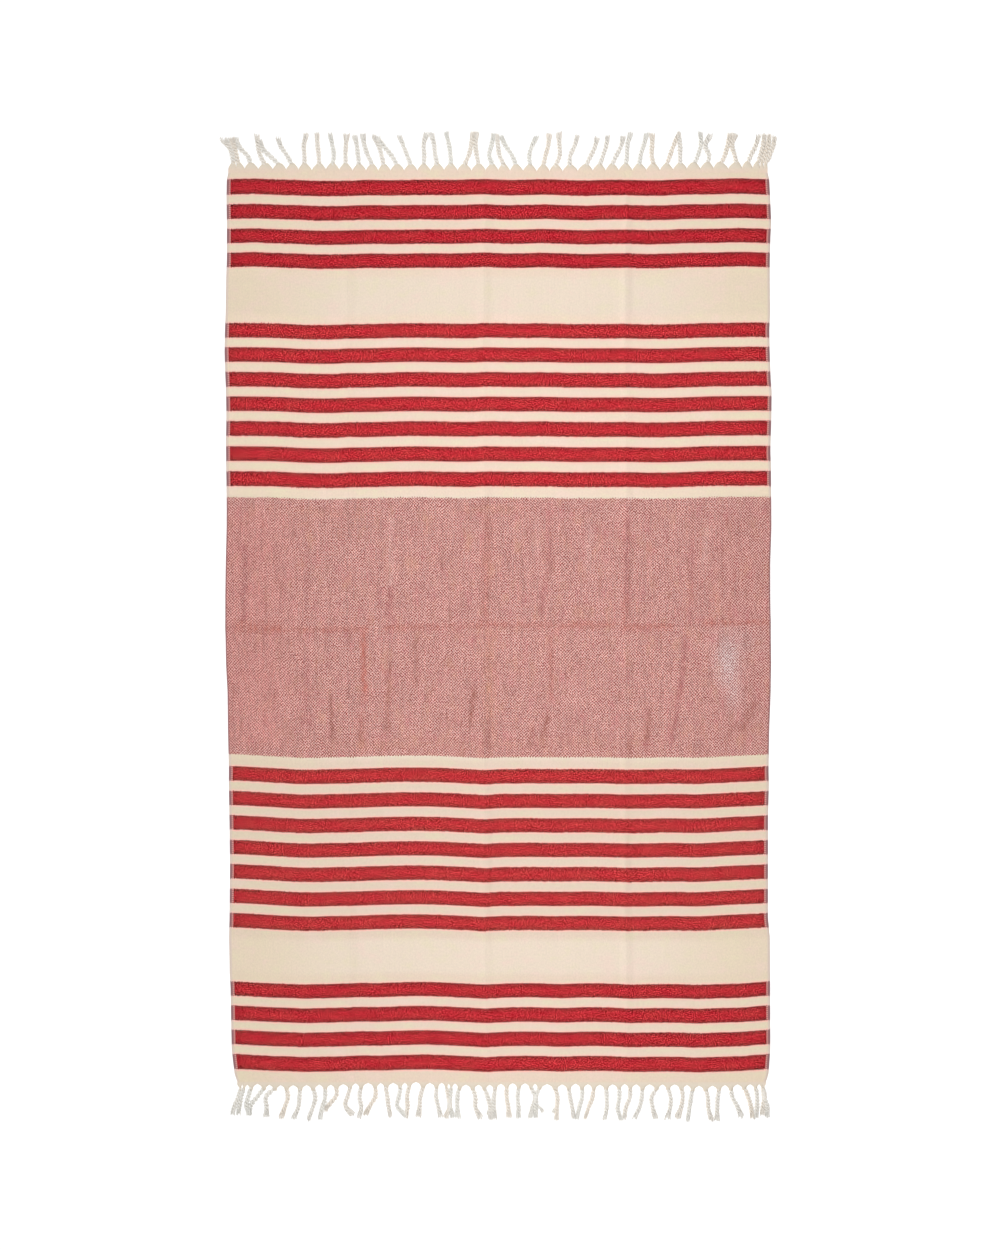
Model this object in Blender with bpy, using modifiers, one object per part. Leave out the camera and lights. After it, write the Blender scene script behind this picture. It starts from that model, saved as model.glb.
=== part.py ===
"""A hammam towel, woven flat and lying open on the floor, with a twisted fringe along both short edges.

Metres, +Z up. X runs across the towel and Y along it. The origin is on the floor, under the middle of the
towel and its fringes. The sizes and tables below are in millimetres: "across" is a place along X, "along" one
along Y, and "flat" a place across the cloth before it was drawn in, counted from its middle warp thread.
"""

import math
from collections import namedtuple

import bmesh
import bpy
import numpy as np

MM = 0.001

# The cloth is one panel. Its long edges are selvedges, and its warp runs out at both short ones.
CLOTH_WIDTH = 992.0
CLOTH_TOP = 829.0
CLOTH_BOTTOM = -835.0
CLOTH_THICKNESS = 1.5
WIDEST_CELL = 75.0
CLOSEST_LINES = 5.0

# The warp ends are gathered into points and twisted into cords, which lie level on the floor. Where two roots
# are further apart than an open notch, the notch between their gathers has its full depth.
SEAM_GAP = 0.3
CORD_SIDE = 4.0
CORD_STEPS = 6
CORD_BURIED = 4.5
TIP_FLARE = 1.3
GATHER_POINT = 2.8
OPEN_NOTCH = 18.0

# How far the selvedges lie from the middle of the towel, from its upper end to its lower one.
Edge = namedtuple("Edge", "along left right")
EDGES = [
    Edge(CLOTH_TOP, -493.0, 493.0),
    Edge(815, -498.5, 496.0),
    Edge(700, -498.5, 497.0),
    Edge(590, -499.5, 493.0),
    Edge(500, -502.0, 494.0),
    Edge(410, -498.5, 498.5),
    Edge(230, -498.5, 498.5),
    Edge(110, -499.5, 495.0),
    Edge(0, -500.5, 497.0),
    Edge(-85, -498.0, 497.0),
    Edge(-170, -495.0, 495.0),
    Edge(-320, -495.0, 493.0),
    Edge(-450, -491.5, 491.5),
    Edge(-530, -492.5, 494.0),
    Edge(-640, -491.5, 496.0),
    Edge(-780, -488.5, 495.0),
    Edge(-812, -485.0, 493.0),
    Edge(CLOTH_BOTTOM, -479.0, 489.5),
]

# The creases left from folding in four lengthways, and the soft wrinkles of the middle panel between them.
# Each runs out over its fade at both ends, and is a little higher and lower along its way.
Fold = namedtuple("Fold", "flat start end half_width height")
FOLD_FADE = 60.0
FOLD_UNEVENNESS = 0.25
FOLD_WAVE = 90.0
LENGTHWAYS_FOLDS = [
    Fold(-274, CLOTH_BOTTOM, CLOTH_TOP, 14, 2.5),
    Fold(-25, CLOTH_BOTTOM, CLOTH_TOP, 14, 2.5),
    Fold(233, CLOTH_BOTTOM, CLOTH_TOP, 14, 2.5),
    Fold(90, -10, 225, 11, 2.0),
    Fold(90, -230, -150, 11, 1.5),
    Fold(-199, -10, 120, 11, 1.5),
    Fold(-245, -150, -10, 11, 2.0),
    Fold(-309, -235, -110, 11, 1.5),
    Fold(-51, -190, -60, 11, 1.5),
    Fold(350, -10, 160, 11, 2.0),
    Fold(330, -150, -40, 11, 1.5),
    Fold(274, -235, -150, 11, 1.5),
]

# The crease left from folding it in two across, which lies a little askew.
CROSS_FOLD_ALONG = -2.0
CROSS_FOLD_SLANT = 0.008
CROSS_FOLD_HALF_WIDTH = 14.0
CROSS_FOLD_HEIGHT = 2.0

# Each cord as it lies: where it is across the towel at its root, a third and two thirds of the way out and at
# its tip, and how far its tip reaches past the root.
Cord = namedtuple("Cord", "root low high tip reach")
TOP_CORDS = [
    Cord(-484, -487, -492, -502, 48),
    Cord(-476, -479, -483, -488, 49),
    Cord(-456, -462, -474, -479, 47),
    Cord(-429, -436, -440, -444, 54),
    Cord(-404, -415, -430, -436, 43),
    Cord(-379, -388, -398, -404, 49),
    Cord(-356, -355, -356, -354, 57),
    Cord(-328, -330, -331, -333, 57),
    Cord(-305, -300, -304, -308, 56),
    Cord(-280, -281, -280, -278, 56),
    Cord(-256, -257, -259, -263, 54),
    Cord(-231, -238, -244, -248, 55),
    Cord(-210, -214, -219, -228, 53),
    Cord(-185, -196, -208, -220, 50),
    Cord(-160, -167, -174, -180, 53),
    Cord(-136, -135, -137, -132, 57),
    Cord(-113, -115, -118, -123, 58),
    Cord(-87, -87, -91, -95, 59),
    Cord(-63, -57, -50, -47, 59),
    Cord(-37, -40, -42, -39, 59),
    Cord(-13, -17, -14, -10, 55),
    Cord(9, 3, -1, -2, 54),
    Cord(31, 24, 13, 5, 53),
    Cord(57, 55, 60, 70, 52),
    Cord(83, 86, 90, 92, 55),
    Cord(107, 111, 112, 111, 58),
    Cord(129, 132, 139, 144, 53),
    Cord(160, 167, 173, 178, 49),
    Cord(185, 190, 195, 200, 53),
    Cord(208, 216, 224, 228, 52),
    Cord(234, 234, 237, 240, 58),
    Cord(257, 259, 264, 271, 57),
    Cord(282, 281, 281, 281, 56),
    Cord(309, 313, 322, 326, 58),
    Cord(332, 332, 332, 334, 57),
    Cord(358, 364, 370, 369, 59),
    Cord(384, 383, 378, 387, 55),
    Cord(407, 413, 419, 424, 56),
    Cord(435, 430, 427, 434, 56),
    Cord(456, 462, 470, 475, 53),
    Cord(475, 479, 484, 487, 55),
    Cord(482, 487, 493, 496, 54),
    Cord(489, 495, 502, 505, 50),
]
BOTTOM_CORDS = [
    Cord(-474, -478, -482, -487, 46),
    Cord(-466, -470, -473, -476, 46),
    Cord(-454, -457, -461, -461, 46),
    Cord(-431, -439, -450, -452, 46),
    Cord(-410, -423, -426, -425, 50),
    Cord(-388, -386, -388, -396, 53),
    Cord(-365, -365, -366, -372, 54),
    Cord(-340, -336, -338, -346, 56),
    Cord(-318, -318, -322, -327, 54),
    Cord(-298, -297, -308, -317, 40),
    Cord(-270, -277, -279, -265, 49),
    Cord(-253, -254, -252, -254, 53),
    Cord(-227, -224, -234, -243, 47),
    Cord(-206, -203, -201, -198, 51),
    Cord(-180, -184, -183, -173, 50),
    Cord(-163, -166, -167, -165, 51),
    Cord(-138, -141, -144, -147, 51),
    Cord(-114, -114, -111, -106, 52),
    Cord(-96, -94, -93, -96, 53),
    Cord(-88, -87, -86, -84, 52),
    Cord(-72, -76, -75, -74, 53),
    Cord(-48, -43, -43, -34, 54),
    Cord(-26, -20, -15, -14, 56),
    Cord(-5, -8, -8, -7, 54),
    Cord(16, 15, 17, 19, 52),
    Cord(39, 36, 36, 37, 53),
    Cord(61, 62, 62, 58, 53),
    Cord(73, 70, 69, 67, 52),
    Cord(104, 107, 108, 107, 56),
    Cord(127, 129, 134, 137, 54),
    Cord(153, 152, 148, 144, 54),
    Cord(174, 173, 167, 159, 54),
    Cord(197, 198, 198, 194, 56),
    Cord(221, 221, 218, 223, 56),
    Cord(241, 239, 233, 230, 55),
    Cord(264, 262, 258, 251, 54),
    Cord(289, 281, 280, 286, 54),
    Cord(309, 315, 315, 309, 54),
    Cord(336, 335, 334, 330, 54),
    Cord(355, 351, 349, 346, 58),
    Cord(379, 382, 385, 389, 58),
    Cord(402, 400, 400, 400, 57),
    Cord(425, 428, 435, 443, 52),
    Cord(449, 456, 461, 464, 53),
    Cord(470, 473, 473, 472, 53),
    Cord(479, 482, 483, 483, 47),
    Cord(486, 489, 491, 494, 51),
]

# Each fringe starts at the cloth's end. Its notches reach in to one line, and its cords leave from another,
# both counted outwards from the middle of the towel.
Fringe = namedtuple("Fringe", "name outward cloth_end notch_line root_line cords")
FRINGES = [
    Fringe("fringe_top", 1, CLOTH_TOP, 832.0, 842.0, TOP_CORDS),
    Fringe("fringe_bottom", -1, CLOTH_BOTTOM, 840.0, 846.0, BOTTOM_CORDS),
]

CLOTH_COLOUR = (0.62, 0.27, 0.23, 1)
YARN_COLOUR = (0.81, 0.70, 0.56, 1)


def clear_scene():
    for obj in list(bpy.data.objects):
        bpy.data.objects.remove(obj)


def new_collection(name):
    collection = bpy.data.collections.new(name)
    bpy.context.scene.collection.children.link(collection)
    return collection


def new_object(name, data, collection):
    obj = bpy.data.objects.new(name, data)
    collection.objects.link(obj)
    return obj


def cotton(name, colour):
    material = bpy.data.materials.new(name)
    material.use_nodes = True
    shader = material.node_tree.nodes["Principled BSDF"]
    shader.inputs["Base Color"].default_value = colour
    shader.inputs["Roughness"].default_value = 0.95
    shader.inputs["Metallic"].default_value = 0.0
    return material


def through(knots, t):
    """The value at t, from 0 to 1, on the smooth curve through evenly spaced knots (Catmull-Rom)."""
    spans = len(knots) - 1
    first = min(int(t * spans), spans - 1)
    f = t * spans - first
    b, c = knots[first], knots[first + 1]
    a = knots[first - 1] if first > 0 else 2 * b - c
    d = knots[first + 2] if first + 2 <= spans else 2 * c - b
    return b + f * ((c - a) + f * ((2 * a - 5 * b + 4 * c - d) + f * (3 * b - a - 3 * c + d))) / 2


def ridge(offset, half_width):
    """A soft ridge across a fold: 1 on its crest, and 0 from half its width outwards."""
    return math.cos(math.pi / 2 * min(abs(offset) / half_width, 1)) ** 2


def fade(along, start, end):
    """How much of a fold is left near its ends, where it runs out into the flat cloth."""
    length = min(FOLD_FADE, (end - start) / 2)
    inside = min(along - start, end - along)
    return math.sin(math.pi / 2 * min(max(inside / length, 0), 1)) ** 2


def fold_height(fold, along):
    """How high a fold's crest is at this place. Its unevenness starts elsewhere on each fold."""
    uneven = 1 + FOLD_UNEVENNESS * math.sin(along / FOLD_WAVE + fold.flat)
    return fold.height * uneven * fade(along, fold.start, fold.end)


def relief(flat, along):
    """How high the folds lift the cloth off the floor."""
    crest = CROSS_FOLD_ALONG + CROSS_FOLD_SLANT * flat
    height = CROSS_FOLD_HEIGHT * ridge(along - crest, CROSS_FOLD_HALF_WIDTH)
    for fold in LENGTHWAYS_FOLDS:
        height = max(height, fold_height(fold, along) * ridge(flat - fold.flat, fold.half_width))
    return height


def grid_lines(crests, others, start, end):
    """Lines from start to end: one along each crest, one at each other place that is clear of them, and more
    where two would be further apart than the widest cell."""
    kept = [start, end]
    for place in crests + others:
        if all(abs(place - line) >= CLOSEST_LINES for line in kept):
            kept.append(place)
    kept.sort()
    lines = [start]
    for place in kept[1:]:
        last = lines[-1]
        steps = math.ceil((place - last) / WIDEST_CELL)
        lines += [last + (place - last) * step / steps for step in range(1, steps + 1)]
    return lines


def cloth_columns():
    """Places across the flat cloth for the lines of its grid."""
    crests = [fold.flat for fold in LENGTHWAYS_FOLDS]
    flanks = [fold.flat + side * fold.half_width for fold in LENGTHWAYS_FOLDS for side in (-1, 1)]
    return grid_lines(crests, flanks, -CLOTH_WIDTH / 2, CLOTH_WIDTH / 2)


def cloth_rows():
    """Places along the cloth for the lines of its grid."""
    crest = [CROSS_FOLD_ALONG + side * CROSS_FOLD_HALF_WIDTH for side in (-1, 0, 1)]
    bends = [edge.along for edge in EDGES]
    ends = [end for fold in LENGTHWAYS_FOLDS for end in (fold.start, fold.end)]
    return grid_lines(crest, bends + ends, CLOTH_BOTTOM, CLOTH_TOP)


def selvedges(along):
    """Where the left and right selvedge lie at this place along the towel."""
    rising = EDGES[::-1]
    places = [edge.along for edge in rising]
    left = np.interp(along, places, [edge.left for edge in rising])
    right = np.interp(along, places, [edge.right for edge in rising])
    return left, right


def laid_out(flat, along):
    """Where a point of the cloth's underside lies: drawn in between its selvedges and lifted by its folds."""
    left, right = selvedges(along)
    across = left + (flat / CLOTH_WIDTH + 0.5) * (right - left)
    return across * MM, along * MM, relief(flat, along) * MM


def make_cloth(collection):
    """The panel: the grid of its underside, thickened upwards."""
    columns = cloth_columns()
    rows = cloth_rows()
    shape = bmesh.new()
    bmesh.ops.create_grid(shape, x_segments=len(columns) - 1, y_segments=len(rows) - 1, size=1)
    for vert in shape.verts:
        column = round((vert.co.x + 1) / 2 * (len(columns) - 1))
        row = round((vert.co.y + 1) / 2 * (len(rows) - 1))
        vert.co = laid_out(columns[column], rows[row])
    mesh = bpy.data.meshes.new("cloth")
    shape.to_mesh(mesh)
    shape.free()
    mesh.materials.append(cotton("woven_cotton", CLOTH_COLOUR))
    cloth = new_object("cloth", mesh, collection)
    thickness = cloth.modifiers.new("thickness", "SOLIDIFY")
    thickness.thickness = CLOTH_THICKNESS * MM
    thickness.offset = 1
    return cloth


def comb_outline(fringe):
    """The backing strip and its gathers, from above: a point at each root and a notch between each two."""
    left, right = selvedges(fringe.cloth_end)
    half_point = GATHER_POINT / 2
    start = fringe.outward * fringe.cloth_end + SEAM_GAP
    depth = fringe.root_line - fringe.notch_line
    outline = [(left, start), (left, fringe.notch_line)]
    last = None
    for cord in fringe.cords:
        if last is not None:
            opening = min((cord.root - last.root - GATHER_POINT) / OPEN_NOTCH, 1)
            outline.append(((cord.root + last.root) / 2, fringe.root_line - depth * opening))
        outline.append((cord.root - half_point, fringe.root_line))
        outline.append((cord.root + half_point, fringe.root_line))
        last = cord
    outline += [(right, fringe.notch_line), (right, start)]
    return [(across, fringe.outward * out) for across, out in outline]


def make_comb(fringe, collection):
    """The backing strip with its gathers, as thick as the cloth."""
    curve = bpy.data.curves.new(fringe.name, "CURVE")
    curve.dimensions = "2D"
    curve.fill_mode = "BOTH"
    curve.extrude = CLOTH_THICKNESS / 2 * MM
    outline = comb_outline(fringe)
    spline = curve.splines.new("POLY")
    spline.points.add(len(outline) - 1)
    for point, (across, along) in zip(spline.points, outline):
        point.co = (across * MM, along * MM, 0, 1)
    spline.use_cyclic_u = True
    comb = new_object(fringe.name, curve, collection)
    comb.location.z = CLOTH_THICKNESS / 2 * MM
    return comb


def cord_route(fringe, cord):
    """Points from inside the gather to the tip, each with the cord's size there as a share of its own."""
    route = [(cord.root, fringe.root_line - CORD_BURIED, 1.0)]
    for step in range(CORD_STEPS + 1):
        t = step / CORD_STEPS
        across = through((cord.root, cord.low, cord.high, cord.tip), t)
        route.append((across, fringe.root_line + cord.reach * t, 1 + (TIP_FLARE - 1) * t**2))
    return route


def make_cords(fringe, collection):
    """All the cords of one fringe, four-sided, with their undersides on the floor."""
    curve = bpy.data.curves.new(fringe.name + "_cords", "CURVE")
    curve.dimensions = "3D"
    curve.twist_mode = "Z_UP"
    curve.bevel_depth = CORD_SIDE / math.sqrt(2) * MM
    curve.bevel_resolution = 0
    curve.use_fill_caps = True
    for cord in fringe.cords:
        route = cord_route(fringe, cord)
        spline = curve.splines.new("POLY")
        spline.points.add(len(route) - 1)
        for point, (across, out, size) in zip(spline.points, route):
            point.co = (across * MM, fringe.outward * out * MM, CORD_SIDE / 2 * size * MM, 1)
            point.radius = size
            point.tilt = math.pi / 4
    return new_object(fringe.name + "_cords", curve, collection)


def as_mesh(curve_object, collection):
    """The same object as a closed mesh. The curve is removed."""
    name = curve_object.name
    bpy.context.view_layer.update()
    graph = bpy.context.evaluated_depsgraph_get()
    mesh = bpy.data.meshes.new_from_object(curve_object.evaluated_get(graph))
    welded = bmesh.new()
    welded.from_mesh(mesh)
    bmesh.ops.remove_doubles(welded, verts=welded.verts, dist=0.01 * MM)
    bmesh.ops.recalc_face_normals(welded, faces=welded.faces)
    welded.to_mesh(mesh)
    welded.free()
    placed = curve_object.matrix_world.copy()
    bpy.data.objects.remove(curve_object)
    result = new_object(name, mesh, collection)
    result.matrix_world = placed
    return result


def make_fringe(fringe, collection, helpers):
    """One fringe: its cords joined at their roots to the backing strip."""
    comb = as_mesh(make_comb(fringe, collection), collection)
    cords = as_mesh(make_cords(fringe, helpers), helpers)
    cords.hide_render = True
    cords.display_type = "WIRE"
    roots = comb.modifiers.new("roots", "BOOLEAN")
    roots.operation = "UNION"
    roots.solver = "EXACT"
    roots.use_self = True
    roots.object = cords
    comb.data.materials.clear()
    comb.data.materials.append(cotton(fringe.name + "_yarn", YARN_COLOUR))
    return comb


def main():
    clear_scene()
    towel = new_collection("hammam_towel")
    helpers = new_collection("helpers")
    make_cloth(towel)
    for fringe in FRINGES:
        make_fringe(fringe, towel, helpers)


main()
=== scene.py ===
"""The looks of the hammam towel: its woven cloth, gathered ends and twisted cords, built over the frame.

The frame is in metres, +Z up, with X across the towel, Y along it and the floor at zero. Sizes and tables
here are in millimetres: "across" is a place along X, "along" one along Y, and "flat" a place across the
cloth before it was drawn in, counted from its middle warp thread.
"""

import math
from collections import namedtuple
from functools import partial

import bpy
import numpy as np
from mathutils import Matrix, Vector, noise


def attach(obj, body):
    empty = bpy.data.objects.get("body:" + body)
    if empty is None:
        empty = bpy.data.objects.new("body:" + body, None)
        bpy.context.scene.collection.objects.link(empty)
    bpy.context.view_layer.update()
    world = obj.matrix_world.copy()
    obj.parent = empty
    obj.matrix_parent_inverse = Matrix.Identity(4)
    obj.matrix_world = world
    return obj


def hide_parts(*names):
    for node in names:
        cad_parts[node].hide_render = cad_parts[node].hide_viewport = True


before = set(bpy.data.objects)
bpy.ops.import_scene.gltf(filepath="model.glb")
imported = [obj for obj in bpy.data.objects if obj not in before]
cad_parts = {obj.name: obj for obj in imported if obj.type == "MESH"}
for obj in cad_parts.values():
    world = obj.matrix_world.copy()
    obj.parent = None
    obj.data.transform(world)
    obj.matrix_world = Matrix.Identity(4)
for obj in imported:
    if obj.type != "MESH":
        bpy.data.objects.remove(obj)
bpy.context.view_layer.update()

MM = 0.001


def table(columns, *rows):
    """A list of rows whose columns have these names."""
    Row = namedtuple("Row", columns)
    return [Row(*row) for row in rows]


# ---- sizes shared with the solids

CLOTH_WIDTH = 992.0
HALF_WIDTH = CLOTH_WIDTH / 2
CLOTH_TOP = 829.0
CLOTH_BOTTOM = -835.0
CLOTH_LENGTH = CLOTH_TOP - CLOTH_BOTTOM
CLOTH_THICKNESS = 1.5

# Where the two selvedges lie, from the upper end of the cloth to the lower one.
EDGES = table(
    "along left right",
    (CLOTH_TOP, -495.5, 491.5), (815, -498.3, 494.6), (780, -498.8, 496.4), (735, -498, 498.2),
    (710, -498, 496.7), (668, -498, 495.7), (640, -499.2, 495.4), (570, -500.4, 496.1),
    (540, -501.5, 494.8), (500, -502.3, 495.4), (450, -500.6, 497.2), (425, -499.6, 499),
    (383, -498.9, 498.6), (338, -499.8, 497.1), (315, -499.6, 496.7), (292, -499.3, 497.6),
    (215, -498.5, 498.4), (179, -498.6, 498.6), (110, -500.2, 496.4), (50, -501, 496.5), (0, -501, 497.3),
    (-75, -499.6, 498), (-127, -496.9, 497.2), (-199, -496.1, 494.4), (-270, -494.4, 493.3),
    (-293, -494.6, 493.9), (-360, -493.4, 492.3), (-450, -492.4, 492.3), (-540, -493.2, 492.3),
    (-575, -494, 495.6), (-640, -492.9, 496), (-664, -491.4, 496.1), (-780, -489.3, 496.5),
    (-812, -485.6, 494.2), (-824, -483.9, 493.2), (CLOTH_BOTTOM, -479, 488.5),
)

# The creases left from folding in four lengthways, and the softer folds of the middle panel between them.
FOLD = "flat start end half_width height"
MAIN_FOLDS = table(FOLD, *[(flat, CLOTH_BOTTOM, CLOTH_TOP, 14, 2.5) for flat in (-274, -25, 233)])
PANEL_FOLDS = table(
    FOLD,
    (90, -10, 225, 11, 2), (90, -230, -150, 11, 1.5), (-199, -10, 120, 11, 1.5), (-245, -150, -10, 11, 2),
    (-309, -235, -110, 11, 1.5), (-51, -190, -60, 11, 1.5), (350, -10, 160, 11, 2),
    (330, -150, -40, 11, 1.5), (274, -235, -150, 11, 1.5),
)
FOLD_FADE = 60.0
FOLD_UNEVENNESS = 0.25
FOLD_WAVE = 90.0
CROSS_FOLD_ALONG = -2.0
CROSS_FOLD_SLANT = 0.008
CROSS_FOLD_HALF_WIDTH = 14.0
CROSS_FOLD_HEIGHT = 2.0

# Where each cord lies at its root, one third out, two thirds out and at its tip, how far out its tip is,
# and how wide its brush of loose yarns spreads.
CORD = "root low high tip reach brush"
TOP_CORDS = table(
    CORD,
    (-485, -488, -493, -503, 48, 15), (-477, -480, -484, -489, 49, 8), (-454, -459, -473, -482, 47, 10),
    (-427, -437, -441, -443, 54, 9.5), (-401, -416, -431, -437, 43, 7), (-378, -387, -398, -404, 49, 8),
    (-356, -356, -357, -353, 57, 8.5), (-329, -330, -332, -333, 57, 8), (-305, -302, -305, -309, 56, 6.5),
    (-280, -281, -280, -279, 56, 11), (-256, -258, -260, -264, 54, 10), (-231, -240, -246, -249, 55, 9),
    (-211, -215, -220, -229, 53, 7), (-186, -196, -209, -221, 50, 8), (-161, -168, -175, -182, 53, 8),
    (-138, -137, -138, -133, 57, 9), (-113, -117, -119, -124, 58, 10), (-88, -89, -92, -96, 59, 8),
    (-64, -55, -51, -48, 59, 7.5), (-37, -41, -43, -40, 59, 7.5), (-12, -18, -14, -11, 55, 7),
    (9, 1, -2, -3, 54, 7), (31, 24, 12, 4, 53, 7), (57, 55, 60, 69, 52, 8), (81, 85, 90, 92, 55, 10),
    (104, 111, 110, 110, 58, 10), (129, 130, 138, 143, 53, 7.5), (159, 167, 175, 179, 49, 9.5),
    (184, 190, 196, 199, 53, 8), (206, 214, 223, 227, 52, 9), (232, 234, 235, 240, 58, 9),
    (256, 259, 265, 270, 57, 9), (283, 279, 280, 280, 56, 9), (306, 313, 320, 329, 58, 5.5),
    (331, 331, 331, 330, 57, 5.5), (356, 364, 369, 368, 59, 8), (381, 384, 377, 386, 55, 9),
    (404, 413, 418, 423, 56, 8), (435, 431, 426, 433, 56, 8.5), (454, 460, 469, 475, 53, 8.5),
    (474, 478, 483, 486, 55, 7), (481, 486, 492, 495, 54, 7), (488, 494, 501, 504, 50, 7),
)
BOTTOM_CORDS = table(
    CORD,
    (-473, -476, -483, -487, 46, 7), (-467, -471, -474, -477, 46, 7), (-454, -458, -462, -459, 46, 5),
    (-430, -441, -453, -455, 46, 5), (-410, -426, -425, -426, 50, 9.5), (-389, -386, -392, -398, 53, 8.5),
    (-364, -365, -367, -375, 54, 9), (-340, -336, -341, -348, 56, 6), (-318, -318, -323, -327, 54, 7.5),
    (-298, -297, -307, -318, 40, 8), (-272, -277, -281, -268, 49, 10), (-253, -255, -252, -256, 53, 7),
    (-226, -226, -235, -243, 47, 8.5), (-207, -204, -202, -199, 51, 6), (-180, -183, -186, -172, 50, 7.5),
    (-165, -168, -167, -169, 51, 6), (-139, -144, -145, -147, 51, 9.5), (-114, -115, -111, -107, 52, 8.5),
    (-96, -92, -90, -97, 53, 8), (-88, -89, -90, -84, 52, 8), (-73, -76, -76, -75, 53, 8.5),
    (-48, -43, -43, -34, 54, 10), (-27, -20, -16, -15, 56, 8), (-7, -9, -9, -8, 54, 8),
    (14, 14, 17, 18, 52, 10), (36, 34, 36, 36, 53, 8), (59, 66, 61, 57, 53, 7.5), (73, 68, 68, 67, 52, 7.5),
    (103, 107, 106, 105, 56, 7.5), (128, 130, 134, 136, 54, 6.5), (152, 152, 147, 143, 54, 6.5),
    (173, 171, 164, 158, 54, 6), (196, 197, 197, 193, 56, 7), (220, 220, 217, 222, 56, 6.5),
    (240, 239, 232, 229, 55, 7), (262, 261, 257, 248, 54, 7.5), (289, 279, 281, 286, 54, 8),
    (309, 314, 313, 308, 54, 10), (334, 336, 333, 327, 54, 10.5), (354, 351, 348, 345, 58, 6.2),
    (378, 382, 383, 389, 58, 9), (403, 400, 399, 399, 57, 9), (424, 427, 436, 443, 52, 10),
    (449, 456, 461, 463, 53, 7), (470, 472, 472, 471, 53, 7), (482, 486, 483, 482, 47, 8),
    (484, 485, 491, 491, 51, 8),
)

# ---- the cloth's own sizes

# The red stripes and the middle panel, each from its upper edge to its lower one. All the rest is ecru.
RED_STRIPES = table(
    "upper lower",
    (815.7, 787.8), (769.7, 743.2), (724.6, 698.9), (681.1, 654.9), (552.3, 526.1), (508, 481.7),
    (462.9, 436.3), (417.9, 391.6), (372.9, 346.1), (326.7, 300.2), (280.9, 254.2), (-262.7, -288.8),
    (-308.1, -333.8), (-352.7, -378.5), (-397.7, -423.4), (-442, -468.2), (-487.2, -513), (-531.5, -557.5),
    (-655.5, -681.1), (-699.3, -725.8), (-743.9, -770), (-788.3, -815.3),
)
PANEL_UPPER = 232.8
PANEL_LOWER = -240.1

# How far the weft has drifted along the towel at each place across it, in the four groups of stripes.
WEFT_DRIFT = table(
    "across top upper lower bottom",
    (-496, 0.8, 1.2, 5.6, 4.2), (-466, 1.9, 1.3, 4.5, 2.8), (-444, 2.2, 1.1, 3.2, 1.6),
    (-418, 1.1, 0.8, 1.7, 0.3), (-391, 0.1, 0, 0.1, -0.5), (-363, -0.4, -1.7, -1.4, -1.7),
    (-336, -2.1, -2.4, -1.3, -1.1), (-308, -2.1, -2.6, -0.4, -0.6), (-284, -1.8, -2, 0, 0.4),
    (-270, -1.8, -1, 0.2, 1.1), (-253, -0.6, -1, 0.7, 1.2), (-226, -0.3, -0.6, 1.7, 0.9),
    (-199, -0.8, 0.3, 2.4, 1.8), (-171, -0.5, 0.8, 2.8, 2.8), (-144, 0.3, 1.1, 2.8, 3.2),
    (-116, 0.1, 0.6, 2.4, 2.6), (-89, -0.2, 0, 1.2, 1.3), (-61, 0.1, -0.3, -0.1, 0),
    (-43, 1.3, -0.1, -1.2, -1.2), (-30, 1, 0.7, -1.9, -1.7), (-19, 1.4, 1.1, -1.7, -1.4),
    (-6, 0.8, 0.8, -0.8, -0.6), (12, -0.4, 0.5, 0.1, 0.1), (30, -0.4, 0.2, -0.3, 0.7),
    (48, 0.1, 0.3, 0.2, 0.8), (76, 1.1, 0.7, 0, 0.4), (103, 0.6, 0.1, -0.5, -0.9),
    (131, -0.7, -0.8, -0.2, -0.3), (158, -1.6, -0.8, 0.1, 0.6), (186, -0.5, -0.7, -0.2, 0.4),
    (208, -0.1, -0.6, -0.7, -0.2), (241, -0.3, -0.5, -1.4, -1.8), (259, -0.9, -1.1, -1.3, -1.6),
    (277, -1.2, -1.4, -1.1, -1), (305, -0.8, -1.3, -0.3, -0.8), (332, 0.7, -0.7, -0.4, -1.2),
    (360, 1.3, 0.5, -1.2, -2.6), (387, 1.3, 1.5, -0.2, -1.6), (414, 2.1, 1.7, 1.4, -0.7),
    (442, 2.9, 1.9, 2.7, -0.1), (469, 1.8, 2.3, 3.7, 2.1), (496, 0.9, 1.6, 5.2, 4.2),
)
DRIFT_SMOOTHED_OVER = 16

# Fine wrinkles that are too small for the solids. Each leans by so much across for each millimetre upwards.
WRINKLES = table(
    "flat start end half_width height lean",
    (-312, -830, -560, 5, 0.7, 0.01), (-266, 40, 640, 6, 0.6, 0), (-18, -560, -250, 5, 0.7, 0.02),
    (199, 560, 650, 5, 0.7, 0), (305, -640, -570, 5, 1, 0.35), (-405, -120, -20, 6, 0.6, 0.12),
    (-435, -160, -50, 6, 0.6, 0.1), (-392, -210, -110, 5, 0.5, 0.15), (-352, 60, 200, 7, 0.4, -0.05),
    (-160, -60, 90, 6, 0.5, 0.04), (-128, 40, 190, 7, 0.5, -0.04), (-182, -220, -90, 5, 0.6, 0.03),
    (-104, -150, 0, 6, 0.4, 0.08), (24, -60, 120, 6, 0.5, 0.03), (52, -170, -30, 6, 0.6, 0.06),
    (66, -235, -160, 5, 0.8, 0.1), (118, -140, 40, 6, 0.5, 0.02), (142, 60, 210, 7, 0.5, 0.05),
    (172, -200, -60, 6, 0.5, -0.03), (208, -230, -120, 5, 0.6, 0.05), (262, 20, 190, 7, 0.5, 0.04),
    (300, -230, -140, 5, 0.8, 0.08), (318, 30, 150, 6, 0.5, 0.02), (384, -140, 10, 6, 0.5, 0.05),
    (400, 60, 180, 7, 0.4, -0.02), (452, -60, 120, 7, 0.4, 0.02),
)

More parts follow.
